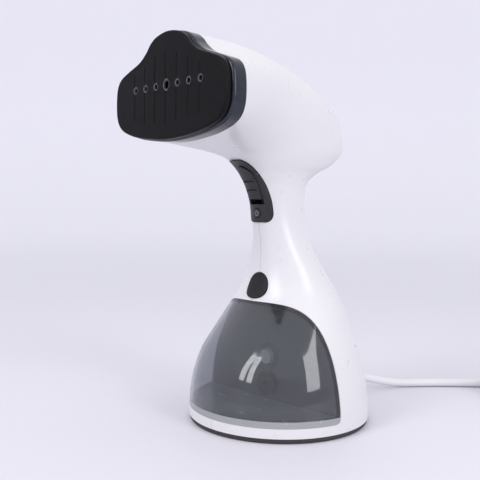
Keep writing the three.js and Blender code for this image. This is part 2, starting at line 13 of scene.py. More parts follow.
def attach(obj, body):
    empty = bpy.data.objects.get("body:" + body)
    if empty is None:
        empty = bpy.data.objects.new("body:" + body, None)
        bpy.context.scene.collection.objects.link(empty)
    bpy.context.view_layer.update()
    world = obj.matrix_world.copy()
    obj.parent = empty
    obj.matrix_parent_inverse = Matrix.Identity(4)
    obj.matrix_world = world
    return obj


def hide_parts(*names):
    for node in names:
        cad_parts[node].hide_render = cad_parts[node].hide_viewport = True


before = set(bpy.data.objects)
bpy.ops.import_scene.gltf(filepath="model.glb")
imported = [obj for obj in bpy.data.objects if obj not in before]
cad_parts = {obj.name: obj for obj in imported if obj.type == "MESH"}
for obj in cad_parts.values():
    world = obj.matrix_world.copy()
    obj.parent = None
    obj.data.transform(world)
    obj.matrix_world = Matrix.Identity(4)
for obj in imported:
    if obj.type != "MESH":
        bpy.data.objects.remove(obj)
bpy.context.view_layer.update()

MM = 0.001

# ---- driving dimensions, in millimetres, as in the CAD source ----
WALL = 2.2
GAP = 0.35
TANK_WALL = 1.8
FOOT_R = 60
FOOT_TOP = 3
BAY_FLOOR = 9.3
BAY_BACK = -8
BAY_TOP = 81
VALVE_Z = 24
PLUG_Z = 42
PLATE_FACE = -98
MOUTH = -84
HEAD_Z = 211.4
PLATE_HALF_W = 51.8
PLATE_HALF_H = 31.4
HOLE_PITCH = 10
CORD_R = 3
CORD_EXIT_Z = 12.5
BUTTON_Z = 90.3
POWER_Z = 138.2
PIVOT_Y, PIVOT_Z = -29.5, 163.5
SCREW_SPOTS = [(37, -37), (-37, -37), (38, 38), (-38, 38)]

# Right half of the steam plate's bell outline, from the top lobe down to the bottom centre.
BELL = [(0, 31.2), (10, 29.6), (16, 26.3), (20.8, 21.3), (27.5, 16.6), (38, 12.8), (46.6, 9),
        (50.6, 3.6), (51.8, -5), (51.2, -14.5), (48, -21), (41, -25.4), (26, -29.3), (0, -31.6)]

# Body sections: front y, front z, back y, back z, half width, roundness, share of the bell outline.
STATIONS = np.array([
    (-60.7, 3.3, 60.7, 3.3, 60.7, 2, 0), (-60.5, 12, 60.5, 12, 60.5, 2, 0),
    (-60, 20, 60, 20, 60, 2, 0), (-57.6, 32, 57.2, 32, 58, 2, 0),
    (-52.1, 46, 53.5, 46, 54.2, 2, 0), (-42, 60, 50, 60, 48.5, 2, 0),
    (-31.3, 74, 44.3, 74, 42, 2, 0), (-22.5, 88, 37.5, 88, 34, 2, 0),
    (-19, 102, 29, 102, 27, 2, 0), (-18.8, 116, 23.2, 116, 20, 2, 0),
    (-20.7, 130, 19.7, 130, 16.3, 2, 0), (-22.6, 144, 18.2, 144, 15.2, 2, 0),
    (-27, 155, 20, 158, 15.8, 2, 0), (-31.5, 162, 30, 166, 18, 2.1, 0),
    (-35, 166, 47, 174, 21, 2.2, 0), (-39, 169.2, 56.5, 186, 24, 2.2, 0),
    (-43, 171.5, 50, 204, 26, 2.2, 0), (-47, 173.2, 30, 219.5, 28.5, 2.2, 0),
    (-54, 174.8, 5, 230, 31.5, 2.2, 0.05), (-62, 176.2, -22, 237.5, 36, 2.2, 0.15),
    (-71, 177.6, -50, 242, 42, 2.3, 0.4), (-79, 179, -71, 243, 47.5, 2.3, 0.8),
    (MOUTH, 180.2, MOUTH, 242.4, 50.4, 2.3, 1)], float)
LAST_STATION = len(STATIONS) - 1


# ---- camera ----
CAMERA_PLACE = (0.31348, -0.33973, 0.13878)
CAMERA_AZIMUTH, CAMERA_PITCH, CAMERA_ROLL = 46.08, 2.35, 0.6


def add_camera():
    """The camera looks from the front right, slightly down, with a slight roll; angles are in degrees."""
    azimuth, pitch, roll = (math.radians(a) for a in (CAMERA_AZIMUTH, CAMERA_PITCH, CAMERA_ROLL))
    flat = math.cos(pitch)
    forward = Vector((-math.sin(azimuth) * flat, math.cos(azimuth) * flat, -math.sin(pitch)))
    level = Vector((math.cos(azimuth), math.sin(azimuth), 0))
    upright = level.cross(forward)
    right = math.cos(roll) * level + math.sin(roll) * upright
    up = math.cos(roll) * upright - math.sin(roll) * level
    camera = bpy.data.objects.new("camera", bpy.data.cameras.new("camera"))
    bpy.context.scene.collection.objects.link(camera)
    turn = Matrix((right, up, -forward)).transposed().to_4x4()
    camera.matrix_world = Matrix.Translation(CAMERA_PLACE) @ turn
    camera.data.lens = 51
    camera.data.sensor_width = 36
    camera.data.clip_start = 0.01
    bpy.context.scene.camera = camera


# ---- materials ----
def finish(name, colour, roughness, *, shade=0.94, blotch=30, rough_spread=0.06, smear=120,
           grain=1200, relief=0.02, stretch=(1, 1, 1), **sockets):
    """A moulded or metal finish: soft colour variation, uneven roughness and a fine surface grain."""
    material = bpy.data.materials.new(name)
    material.use_nodes = True
    nodes, links = material.node_tree.nodes, material.node_tree.links
    shader = nodes["Principled BSDF"]
    coords = nodes.new("ShaderNodeTexCoord")
    mapping = nodes.new("ShaderNodeMapping")
    mapping.inputs["Scale"].default_value = stretch
    links.new(coords.outputs["Object"], mapping.inputs["Vector"])

    def noise(scale, detail):
        node = nodes.new("ShaderNodeTexNoise")
        node.inputs["Scale"].default_value = scale
        node.inputs["Detail"].default_value = detail
        links.new(mapping.outputs["Vector"], node.inputs["Vector"])
        return node.outputs["Fac"]

    ramp = nodes.new("ShaderNodeValToRGB")
    ramp.color_ramp.elements[0].position = 0.35
    ramp.color_ramp.elements[1].position = 0.65
    ramp.color_ramp.elements[0].color = (*[c * shade for c in colour], 1)
    ramp.color_ramp.elements[1].color = (*colour, 1)
    links.new(noise(blotch, 3), ramp.inputs["Fac"])
    links.new(ramp.outputs["Color"], shader.inputs["Base Color"])
    spread = nodes.new("ShaderNodeMapRange")
    spread.inputs["From Min"].default_value = 0.3
    spread.inputs["From Max"].default_value = 0.7
    spread.inputs["To Min"].default_value = max(roughness - rough_spread, 0.02)
    spread.inputs["To Max"].default_value = roughness + rough_spread
    links.new(noise(smear, 4), spread.inputs["Value"])
    links.new(spread.outputs["Result"], shader.inputs["Roughness"])
    bump = nodes.new("ShaderNodeBump")
    bump.inputs["Strength"].default_value = 0.5
    bump.inputs["Distance"].default_value = relief * MM
    links.new(noise(grain, 2), bump.inputs["Height"])
    links.new(bump.outputs["Normal"], shader.inputs["Normal"])
    for socket, value in sockets.items():
        shader.inputs[socket.replace("_", " ")].default_value = value
    return material


def make_finishes():
    return {
        "white_shell": finish("white_shell", (0.71, 0.70, 0.715), 0.3, shade=0.985, rough_spread=0.03,
                              relief=0.012, Coat_Weight=0.15, Coat_Roughness=0.12),
        "foot": finish("foot", (0.035, 0.028, 0.032), 0.6, grain=2200, relief=0.05),
        "smoked_tank": finish("smoked_tank", (0.5, 0.52, 0.56), 0.05, shade=0.97, rough_spread=0.015,
                              grain=90, relief=0.004, Transmission_Weight=0.95, IOR=1.5),
        "clear_rim": finish("clear_rim", (0.5, 0.52, 0.53), 0.22, shade=0.95, relief=0.01,
                            Transmission_Weight=0.35, IOR=1.5),
        "silicone": finish("silicone", (0.7, 0.69, 0.66), 0.45, relief=0.02, Subsurface_Weight=0.1),
        "seal_rubber": finish("seal_rubber", (0.012, 0.012, 0.013), 0.75, grain=1800, relief=0.05),
        "dark_plastic": finish("dark_plastic", (0.02, 0.02, 0.023), 0.42, shade=0.85, grain=2600,
                               relief=0.04, Specular_IOR_Level=0.4),
        "black_plastic": finish("black_plastic", (0.008, 0.008, 0.01), 0.4, shade=0.85, grain=2600,
                                relief=0.03, Specular_IOR_Level=0.3),
        "red_plastic": finish("red_plastic", (0.4, 0.04, 0.03), 0.35),
        "blue_plastic": finish("blue_plastic", (0.03, 0.08, 0.3), 0.35),
        "circuit_green": finish("circuit_green", (0.02, 0.16, 0.05), 0.4, blotch=300),
        "plate_coating": finish("plate_coating", (0.006, 0.006, 0.007), 0.36, shade=0.7, rough_spread=0.08,
                                grain=5200, relief=0.03, Specular_IOR_Level=0.1),
        "navy_frame": finish("navy_frame", (0.012, 0.016, 0.027), 0.1, shade=0.9, rough_spread=0.03,
                             grain=300, relief=0.004, Specular_IOR_Level=0.45),
        "sign_grey": finish("sign_grey", (0.35, 0.35, 0.36), 0.5, relief=0.01),
        "plate_rim": finish("plate_rim", (0.16, 0.16, 0.175), 0.3, relief=0.01, Metallic=0.7),
        "cast_aluminium": finish("cast_aluminium", (0.55, 0.55, 0.56), 0.5, grain=1500, relief=0.12,
                                 Metallic=1),
        "plated_metal": finish("plated_metal", (0.6, 0.6, 0.61), 0.3, Metallic=1),
        "steel": finish("steel", (0.62, 0.63, 0.64), 0.25, smear=60, stretch=(1, 9, 1), Metallic=1),
        "copper": finish("copper", (0.6, 0.25, 0.12), 0.35, grain=900, relief=0.1, stretch=(1, 1, 6),
                         Metallic=1),
        "cord_white": finish("cord_white", (0.8, 0.79, 0.81), 0.42, grain=1500, relief=0.03),
    }


FINISH_OF_NODE = {
    "steel": ["foot_screw_1", "foot_screw_2", "foot_screw_3", "foot_screw_4", "valve_spring",
              "pump_plunger", "pump_spring", "heating_element", "trigger_pin", "trigger_spring",
              "release_spring"],
    "silicone": ["tank_plug", "inlet_tube", "outlet_tube", "thermal_fuse"],
    "dark_plastic": ["valve_body", "tank_socket", "pump_body", "thermostat", "release_latch"],
    "seal_rubber": ["tank_seal"],
    "black_plastic": ["valve_poppet", "power_switch", "micro_switch", "board_relay"],
    "copper": ["pump_coil"],
    "plated_metal": ["pump_bracket", "heat_shield"],
    "cast_aluminium": ["steam_chamber", "chamber_cover"],
    "circuit_green": ["circuit_board"],
    "blue_plastic": ["board_capacitor", "wire_neutral"],
    "red_plastic": ["wire_live", "switch_plunger"],
    "white_shell": ["cord_clamp"],
}


def paint_nodes():
    for slot, names in FINISH_OF_NODE.items():
        for name in names:
            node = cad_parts[name]
            node.data.materials.clear()
            node.data.materials.append(finishes[slot])


# ---- meshes; every shape is given in millimetres and stored in metres ----
def mesh_piece(name, vertices, faces):
    mesh = bpy.data.meshes.new(name)
    mesh.from_pydata([tuple(c * MM for c in v) for v in vertices], [], faces)
    piece = bpy.data.objects.new(name, mesh)
    bpy.context.scene.collection.objects.link(piece)
    return piece


def loft(name, rings, hollow=False):
    """Closed surface through rings of equal length.

    A hollow one joins its last ring to its first; any other has a fan over each end.
    """
    count = len(rings[0])
    rows = len(rings)
    vertices = [tuple(p) for ring in rings for p in ring]
    faces = []
    for k in range(rows if hollow else rows - 1):
        low = k * count
        high = (k + 1) % rows * count
        for i in range(count):
            j = (i + 1) % count
            faces.append((low + i, low + j, high + j, high + i))
    if not hollow:
        first, last = len(vertices), len(vertices) + 1
        vertices += [tuple(np.mean(rings[0], axis=0)), tuple(np.mean(rings[-1], axis=0))]
        end = (rows - 1) * count
        for i in range(count):
            j = (i + 1) % count
            faces += [(first, j, i), (last, end + i, end + j)]
    piece = mesh_piece(name, vertices, faces)
    face_out(piece)
    return piece


def face_out(piece):
    mesh = bmesh.new()
    mesh.from_mesh(piece.data)
    bmesh.ops.recalc_face_normals(mesh, faces=mesh.faces)
    mesh.to_mesh(piece.data)
    mesh.free()


def axes(axis, at):
    """Maps (across, across, along) to x, y, z for a piece whose axis is X, Y or Z."""
    order = {"x": (2, 0, 1), "y": (0, 2, 1), "z": (0, 1, 2)}[axis]
    return lambda p: tuple(p[order[k]] + at[k] for k in range(3))


def turned(name, profile, axis="z", at=(0, 0, 0), count=64, hollow=False):
    """A turned piece from (radius, height) pairs; a hollow one has its profile closed on itself."""
    put = axes(axis, at)
    angles = [2 * math.pi * i / count for i in range(count)]
    solid = [p for p in profile if p[0] > 0]
    rings = [[put((r * math.cos(a), r * math.sin(a), h)) for a in angles] for r, h in solid]
    return loft(name, rings, hollow)


def prism(name, outline, low, high, axis="y"):
    """An outline pushed along an axis: (x, z) pairs along Y, or (y, z) pairs along X."""
    place = (lambda u, v, w: (u, w, v)) if axis == "y" else (lambda u, v, w: (w, u, v))
    vertices = [place(u, v, low) for u, v in outline] + [place(u, v, high) for u, v in outline]
    count = len(outline)
    faces = [tuple(range(count)), tuple(range(2 * count - 1, count - 1, -1))]
    faces += [(i, (i + 1) % count, count + (i + 1) % count, count + i) for i in range(count)]
    piece = mesh_piece(name, vertices, faces)
    face_out(piece)
    return piece


def block(name, size, at):
    """A box of the given size about a point."""
    left, right = at[0] - size[0] / 2, at[0] + size[0] / 2
    bottom, top = at[2] - size[2] / 2, at[2] + size[2] / 2
    outline = [(left, bottom), (right, bottom), (right, top), (left, top)]
    return prism(name, outline, at[1] - size[1] / 2, at[1] + size[1] / 2)


def combine(piece, tool, operation="DIFFERENCE"):
    """Cuts, joins or intersects piece with tool, and removes the tool."""
    modifier = piece.modifiers.new("cut", "BOOLEAN")
    modifier.solver = "MANIFOLD"
    modifier.operation = operation
    modifier.object = tool
    settled = piece.evaluated_get(bpy.context.evaluated_depsgraph_get())
    mesh = bpy.data.meshes.new_from_object(settled)
    piece.modifiers.clear()
    piece.data = mesh
    bpy.data.objects.remove(tool)
    return piece


def copy_of(piece, name):
    twin = bpy.data.objects.new(name, piece.data.copy())
    bpy.context.scene.collection.objects.link(twin)
    return twin


SAME_VERTEX = 0.06
SHORTEST_EDGE = 0.01
FLAT_ANGLE = 0.4
SLIVER_AREA = 0.004
BEVEL_STEPS = 3


def dress(piece, slot, body, replaced, edge=0.0, sharp=32, flat=False, merge=True):
    """Cleans the mesh, smooths its shading, gives the finish and puts the piece on its body.

    edge is the bevel's width in mm, and sharp the angle in degrees above which an edge stays sharp.
    flat weights the normals towards large faces, and merge joins faces that lie in one plane.
    """
    mesh = bmesh.new()
    mesh.from_mesh(piece.data)
    bmesh.ops.remove_doubles(mesh, verts=mesh.verts, dist=SAME_VERTEX * MM)
    bmesh.ops.dissolve_degenerate(mesh, dist=SHORTEST_EDGE * MM, edges=mesh.edges)
    if merge:
        bmesh.ops.dissolve_limit(mesh, angle_limit=math.radians(FLAT_ANGLE), verts=mesh.verts,
                                 edges=mesh.edges)
    limit = math.radians(sharp)
    for face in mesh.faces:
        face.smooth = True
    weight = mesh.edges.layers.float.new("bevel_weight_edge")
    sliver = SLIVER_AREA * MM * MM
    for line in mesh.edges:
        line.smooth = len(line.link_faces) == 2 and line.calc_face_angle(0) < limit
        if not line.smooth and all(face.calc_area() > sliver for face in line.link_faces):
            line[weight] = 1
    mesh.to_mesh(piece.data)
    mesh.free()
    piece.data.materials.clear()
    piece.data.materials.append(finishes[slot])
    if edge > 0:
        bevel = piece.modifiers.new("edge", "BEVEL")
        bevel.limit_method = "WEIGHT"
        bevel.width = edge * MM
        bevel.segments = BEVEL_STEPS
        bevel.use_clamp_overlap = True
        settled = piece.evaluated_get(bpy.context.evaluated_depsgraph_get())
        rounded = bpy.data.meshes.new_from_object(settled)
        piece.modifiers.clear()
        piece.data = rounded
        for face in piece.data.polygons:
            face.use_smooth = True
        if flat:
            piece.modifiers.new("shading", "WEIGHTED_NORMAL").keep_sharp = True
    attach(piece, body)
    if replaced:
        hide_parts(*replaced)
    return piece


# ---- curves ----
def catmull(points, t):
    """Uniform Catmull-Rom blend of a table of rows at a fractional row number, ends held."""
    last = len(points) - 1
    start = min(int(t), last - 1)
    f = t - start
    a, b, c, d = (np.asarray(points[min(max(start + k, 0), last)], float) for k in (-1, 0, 1, 2))
    square = (2 * a - 5 * b + 4 * c - d) * f ** 2
    cube = (3 * b - a - 3 * c + d) * f ** 3
    return 0.5 * (2 * b + (c - a) * f + square + cube)


def bell_outline(count, scale=(1, 1), offset=0.0):
    """The bell outline about the row of holes, scaled and then moved out along its normal."""
    loop = BELL + [(-x, z) for x, z in BELL[1:-1]][::-1]
    size = len(loop)
    padded = [loop[(i - 1) % size] for i in range(size + 3)]
    at = [catmull(padded, 1 + size * i / count) for i in range(count)]
    points = np.array(at) * np.array(scale)
    along = np.roll(points, -1, axis=0) - np.roll(points, 1, axis=0)
    along /= np.linalg.norm(along, axis=1)[:, None]
    return points + offset * np.stack([-along[:, 1], along[:, 0]], axis=1)


BELL_UNIT = bell_outline(720) / (PLATE_HALF_W, PLATE_HALF_H)
BELL_ANGLES = np.arctan2(BELL_UNIT[:, 1], BELL_UNIT[:, 0])
BELL_ORDER = np.argsort(BELL_ANGLES)
BELL_RADII = np.hypot(BELL_UNIT[:, 0], BELL_UNIT[:, 1])


def bell_radius(angles):
    wrapped = np.arctan2(np.sin(angles), np.cos(angles))
    return np.interp(wrapped, BELL_ANGLES[BELL_ORDER], BELL_RADII[BELL_ORDER], period=2 * math.pi)


# ---- body surface ----
def body_ring(t, inset, count):
    front_y, front_z, back_y, back_z, half_width, power, bell = catmull(STATIONS, t)
    chord = math.hypot(back_y - front_y, back_z - front_z)
    scale = 1 - 2 * inset / chord
    angles = 2 * math.pi * np.arange(count) / count
    c, s = np.cos(angles), np.sin(angles)
    r = (np.abs(c) ** power + np.abs(s) ** power) ** (-1 / power)
    if bell > 0:
        r = (1 - bell) * r + bell * bell_radius(angles)
    x = (half_width - inset) * r * c
    y = (front_y + back_y) / 2 + (back_y - front_y) / 2 * scale * r * s
    z = (front_z + back_z) / 2 + (back_z - front_z) / 2 * scale * r * s
    return np.stack([x, y, z], axis=1)


def body(inset, first=0.0, last=LAST_STATION, steps=6, count=160, overrun=0.0):
    """The body solid between two stations; overrun pushes its open ends past them."""
    rows = round((last - first) * steps)
    rings = [body_ring(first + (last - first) * k / rows, inset, count) for k in range(rows + 1)]
    if overrun > 0:
        rings.insert(0, rings[0] - (0, 0, overrun))
        rings.append(rings[-1] - (0, overrun, 0))
    return loft("body", rings)


def skin_band(outset, inset, first, last):
    return combine(body(-outset, first, last, 12, 240), body(inset, first, last, 10, 200))


def quadratic(start, bend, end, steps):
    """Points after start along a quadratic curve."""
    fractions = [(i + 1) / steps for i in range(steps)]
    return [tuple((1 - f) ** 2 * a + 2 * f * (1 - f) * b + f * f * c for a, b, c in zip(start, bend, end))
            for f in fractions]


def cubic(start, first, second, end, steps):
    fractions = [(i + 1) / steps for i in range(steps)]
    return [tuple((1 - f) ** 3 * a + 3 * f * (1 - f) ** 2 * b + 3 * f * f * (1 - f) * c + f ** 3 * d
                  for a, b, c, d in zip(start, first, second, end)) for f in fractions]


def bay(shift, floor=BAY_FLOOR):
    """Side view of everything in front of the tank's back wall, moved back by shift."""
    back = BAY_BACK + shift
    top = BAY_TOP + shift
    corner = 4
    bend = 52
    front = -90
    outline = [(front, floor), (back - corner, floor)]
    outline += quadratic((back - corner, floor), (back, floor), (back, floor + corner), 8)
    outline.append((back, bend))
    outline += quadratic((back, bend), (back, top), (back - 20, top), 32)
    outline.append((front, top))
    return prism("bay", outline, -75, 75, "x")


# ---- outlines in front view ----
def module_outline(grow):
    top, bottom = 171.5 + grow, 132.5 - grow
    steps = 16
    half = quadratic((5.5, bottom), (9.2 + grow, bottom + 0.4), (9.4 + grow, bottom + 6), steps)
    half += quadratic((9.4 + grow, bottom + 6), (9 + grow, 158), (7.4 + grow, 167), steps)
    half += quadratic((7.4 + grow, 167), (6.4 + grow, top), (3.4, top), steps)
    half = [(5.5, bottom)] + half
    return half + [(-x, z) for x, z in reversed(half)]


def trigger_outline(grow, bottom):
    half = 5.8 + grow
    shoulder = 161.5
    arc = [math.pi * i / 32 for i in range(33)]
    top = [(half * math.cos(a), shoulder + half * math.sin(a)) for a in arc]
    return [(-half, bottom), (half, bottom)] + top


def button_outline(grow):
    wide = 8.4 + grow
    bottom, top = BUTTON_Z - (7.6 + grow), BUTTON_Z + (8.8 + grow)
    steps = 20
    half = cubic((0, bottom), (wide, bottom), (wide + 0.6, BUTTON_Z - 3), (wide, BUTTON_Z), steps)
    half += cubic((wide, BUTTON_Z), (wide - 0.6, BUTTON_Z + 5), (5, top), (0, top), steps)
    return [(0, bottom)] + half + [(-x, z) for x, z in reversed(half[:-1])]


def rod(radius, low, high, axis, at, count=40):
    return turned("rod", [(radius, low), (radius, high)], axis, at, count)


# ---- white shells ----
def add_housing():
    whole = combine(body(0), body(WALL, steps=3, count=96, overrun=2))
    inside = body(WALL / 2, steps=3, count=96)
    partition = combine(combine(inside, bay(WALL, BAY_FLOOR - WALL), "INTERSECT"), bay(0))
    combine(combine(whole, bay(0)), partition, "UNION")
    cuts = [prism("cut", module_outline(GAP), -60, -6), prism("cut", button_outline(GAP), -60, 0)]
    cuts.append(rod(7.6, -20, 0, "y", (0, BAY_BACK + 10, VALVE_Z)))
    cuts.append(rod(8.6, -20, 0, "y", (0, BAY_BACK + 10, PLUG_Z)))
    cuts.append(rod(5.4, 40, 80, "y", (0, 0, CORD_EXIT_Z)))
    cuts += [rod(1.5, 0, BAY_FLOOR - 1.6, "z", (x, y, 0), 20) for x, y in SCREW_SPOTS]
    for cut in cuts:
        combine(whole, cut)
    half_gap = 0.1
    reach = 100
    for name, side in (("housing_left", -1), ("housing_right", 1)):
        room = block("half", (reach, 300, 300), (side * (reach / 2 + half_gap), 0, 140))
        half = combine(copy_of(whole, name + "_shell"), room, "INTERSECT")
        dress(half, "white_shell", "root", [name], merge=False)
    bpy.data.objects.remove(whole)


# ---- foot ----
def add_foot():
    corner = 1.2
    steps = 6
    turns = [math.pi / 2 * i / steps for i in range(steps + 1)]
    # A shallow groove runs round the underside.
    profile = [(2, 0), (FOOT_R - 14, 0), (FOOT_R - 12, 0.7), (FOOT_R - 4, 0.7), (FOOT_R - 3, 0)]
    profile += [(FOOT_R - corner + corner * math.sin(a), corner - corner * math.cos(a)) for a in turns]
    profile += [(FOOT_R, FOOT_TOP), (2, FOOT_TOP)]
    foot = turned("foot_ring", profile, count=160)
    for x, y in SCREW_SPOTS:
        combine(foot, rod(3.4, -1, 1.6, "z", (x, y, 0)))
        combine(foot, rod(1.5, -1, 4, "z", (x, y, 0), 20))
    dress(foot, "foot", "root", ["foot_cover"], edge=0.15)


# ---- water tank ----
def add_tank():
    rim = 13.6
    top_station = 9
    outer = combine(body(0, 0, top_station), bay(-GAP), "INTERSECT")
    inner = combine(body(TANK_WALL, 0, top_station, 4, 128, 2), bay(-GAP - TANK_WALL, 0), "INTERSECT")
    below = block("half", (150, 150, 60), (0, 0, rim - GAP / 2 - 30))
    base = combine(copy_of(outer, "tank_base"), below, "INTERSECT")
    above = block("half", (150, 150, 100), (0, 0, rim + 50 + GAP / 2))
    shell = combine(combine(outer, inner), above, "INTERSECT")
    shell.name = "tank_window"
    for z, r in ((VALVE_Z, 6.3), (PLUG_Z, 5.4)):
        combine(shell, rod(r, BAY_BACK - 6, BAY_BACK + 4, "y", (0, 0, z)))
    dress(shell, "smoked_tank", "tank", ["tank_shell"], edge=0.4)
    dress(base, "clear_rim", "tank", ["tank_floor"], edge=0.4)


# ---- steam head ----
def bell_slab(name, profile, scale=(1, 1), count=264):
    """A slab with the bell outline; profile gives (offset outwards, y) pairs from front to back."""
    rings = []
    for offset, y in profile:
        outline = bell_outline(count, scale, offset)
        rings.append(np.array([(x, y, HEAD_Z + z) for x, z in outline]))
    return loft(name, rings)


def rounded_front(radius, face, back, steps=6):
    turns = [math.pi / 2 * i / steps for i in range(steps + 1)]
    return [(radius * math.sin(a) - radius, face + radius * (1 - math.cos(a))) for a in turns] + [(0, back)]


# One entry for each steam hole, from left to right; the lengths are the groove's, above and below the hole.
HOLES = [(i * HOLE_PITCH, 2.5 if i == 0 else 1.6) for i in range(-3, 4)]
GROOVE_UP = (8, 12, 16, 18, 16, 12, 8)
GROOVE_DOWN = (17, 19, 20, 20.5, 20, 19, 17)
GROOVE_DEPTH = 0.22
GROOVE_HALF_W = 1.2


def cut_plate_holes(plate, plate_back):
    for x, radius in HOLES:
        combine(plate, rod(radius, PLATE_FACE - 1, plate_back + 1, "y", (x, 0, HEAD_Z)))
        profile = [(radius + 0.9, PLATE_FACE - 0.5), (radius - 0.4, PLATE_FACE + 0.8)]
        combine(plate, turned("dish", profile, "y", (x, 0, HEAD_Z), 40))


def cut_plate_grooves(plate):
    half = GROOVE_HALF_W
    arc = [math.pi * k / 12 for k in range(13)]
    for (x, _), up, down in zip(HOLES, GROOVE_UP, GROOVE_DOWN):
        top, bottom = HEAD_Z + up, HEAD_Z - down
        outline = [(x + half * math.cos(a), top + half * math.sin(a)) for a in arc]
        outline += [(x - half * math.cos(a), bottom - half * math.sin(a)) for a in arc]
        combine(plate, prism("groove", outline, PLATE_FACE - 1, PLATE_FACE + GROOVE_DEPTH))


def add_hole_rims():
    """A bright metal ring in the mouth of each steam hole; the middle one is the widest."""
    for i, (x, radius) in enumerate(HOLES):
        inner = radius - 0.05
        outer = radius + (0.9 if x == 0 else 0.6)
        profile = [(inner, PLATE_FACE + 1.4), (outer, PLATE_FACE + 1.4), (outer, PLATE_FACE + 0.1),
                   (outer - 0.2, PLATE_FACE), (radius + 0.1, PLATE_FACE + 0.05), (inner, PLATE_FACE + 0.3)]
        ring = turned(f"hole_rim_{i + 1}", profile, "y", (x, 0, HEAD_Z), 40, True)
        dress(ring, "plate_coating", "root", [])
        ring.data.materials[0] = finishes["plate_rim"]


def add_head():
    plate_back = PLATE_FACE + 3.2
    frame_front = plate_back + 1.2
    frame_back = MOUTH - 0.35
    grown = 0.9
    plate_scale = (0.968 + grown / PLATE_HALF_W, 0.958 + grown / PLATE_HALF_H)
    plate = bell_slab("steam_plate_coated", rounded_front(1.3, PLATE_FACE, plate_back), plate_scale)
    cut_plate_holes(plate, plate_back)
    cut_plate_grooves(plate)
    dress(plate, "plate_coating", "root", ["steam_plate"], edge=0.18, sharp=28, flat=True)
    add_hole_rims()
    gasket = bell_slab("plate_gasket_ring", [(0, plate_back + 0.3), (0, frame_front - 0.3)], (0.955, 0.955))
    combine(gasket, bell_slab("cut", [(0, -100), (0, -80)], (0.87, 0.87)))
    dress(gasket, "seal_rubber", "root", ["plate_gasket"])
    trim = bell_slab("head_trim", rounded_front(1.8, frame_front, frame_back), (1.01, 1.01))
    combine(trim, bell_slab("cut", [(0, -100), (0, -80)], (0.93, 0.93)))
    dress(trim, "navy_frame", "root", ["head_frame"], edge=0.2, flat=True)


# ---- trigger module ----
def add_trigger_module():
    first, last = 8, 16
    bezel = combine(skin_band(1.3, 2.4, first, last), prism("cut", module_outline(0), -60, -8), "INTERSECT")
    bezel.name = "trigger_bezel_shell"
    combine(bezel, prism("cut", trigger_outline(GAP, 144), -60, 0))
    combine(bezel, rod(3.4, -60, 0, "y", (0, 0, POWER_Z)))
    for side in (-1, 1):
        cheek = block("cheek", (1.2, 6, 7), (side * 6.9, PIVOT_Y - 1, PIVOT_Z))
        combine(bezel, combine(cheek, body(-1.3, first, last, 12, 240), "INTERSECT"), "UNION")
    combine(bezel, rod(3.3, -6.1, 6.1, "x", (0, PIVOT_Y, PIVOT_Z)))
    combine(bezel, rod(1.4, -12, 12, "x", (0, PIVOT_Y, PIVOT_Z)))
    dress(bezel, "dark_plastic", "root", ["trigger_bezel"], edge=0.35)
    front = prism("cut", trigger_outline(0, 147.2), -60, -8)
    trigger = combine(skin_band(2.2, 4.6, first, last), front, "INTERSECT")
    trigger.name = "trigger_grip"
    combine(trigger, rod(2.9, -5.6, 5.6, "x", (0, PIVOT_Y, PIVOT_Z)), "UNION")
    combine(trigger, rod(1.4, -12, 12, "x", (0, PIVOT_Y, PIVOT_Z)))
    for z in (153, 158.5):
        combine(trigger, block("rib", (9.4, 3.2, 0.9), (0, -28.1 - (z - 153) * 0.56, z)))
    dress(trigger, "dark_plastic", "trigger", ["steam_trigger"], edge=0.4)
    cap = combine(body(-1.5, first, last, 12, 240), rod(3.05, -40, -14, "y", (0, 0, POWER_Z)), "INTERSECT")
    cap.name = "power_cap"
    dress(cap, "dark_plastic", "power", ["power_button"], edge=0.4)
    add_power_mark()


def front_of_neck(x, z, outset):
    """Front of the neck's surface at (x, z), where its sections are level."""
    levels = [catmull(STATIONS, 9 + k / 100) for k in range(301)]
    front_y, _, back_y, _, half_width, _, _ = min(levels, key=lambda row: abs(row[1] - z))
    share = math.sqrt(1 - (x / (half_width + outset)) ** 2)
    return (front_y + back_y) / 2 - ((back_y - front_y) / 2 + outset) * share


def add_power_mark():
    """A plain standby sign, an open ring and a stroke, standing slightly proud of the power button."""
    ring_r, line_r = 1.45, 0.17
    proud = 1.5
    open_half = 0.6
    arc = [math.pi / 2 + open_half + (2 * math.pi - 2 * open_half) * i / 28 for i in range(29)]
    strokes = [[(ring_r * math.cos(a), ring_r * math.sin(a)) for a in arc], [(0, 0.4), (0, 1.2), (0, 2.0)]]
    curve = bpy.data.curves.new("power_mark", "CURVE")
    curve.dimensions = "3D"
    curve.bevel_depth = line_r * MM
    curve.bevel_resolution = 2
    curve.use_fill_caps = True
    for stroke in strokes:
        spline = curve.splines.new("POLY")
        spline.points.add(len(stroke) - 1)
        for knot, (x, dz) in zip(spline.points, stroke):
            z = POWER_Z + dz
            knot.co = (x * MM, front_of_neck(x, z, proud) * MM, z * MM, 1)
    curve.materials.append(finishes["sign_grey"])
    mark = bpy.data.objects.new("power_mark", curve)
    bpy.context.scene.collection.objects.link(mark)
    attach(mark, "power")


# ---- tank release ----
def add_release():
    button = combine(skin_band(0.9, 3.4, 6, 10), prism("cut", button_outline(0), -60, 0), "INTERSECT")
    button.name = "release_cap"
    dress(button, "black_plastic", "release", ["release_button"], edge=0.7)


# ---- mains cord and plug ----
CORD_ROUTE = [(0, 83.4, 12.5), (0.6, 93, 11.3), (3, 104, 8.6), (7.5, 115, 5.8), (13.5, 126, 3.9),
              (20.5, 136.5, 3.3), (28.5, 147, 3.2), (37.5, 157, 3.2), (47, 166.5, 3.2), (56.5, 176, 3.2),
              (66, 185.5, 3.2), (77, 196.6, 3.2)]
COIL_X, COIL_Y = 111.3, 184.7
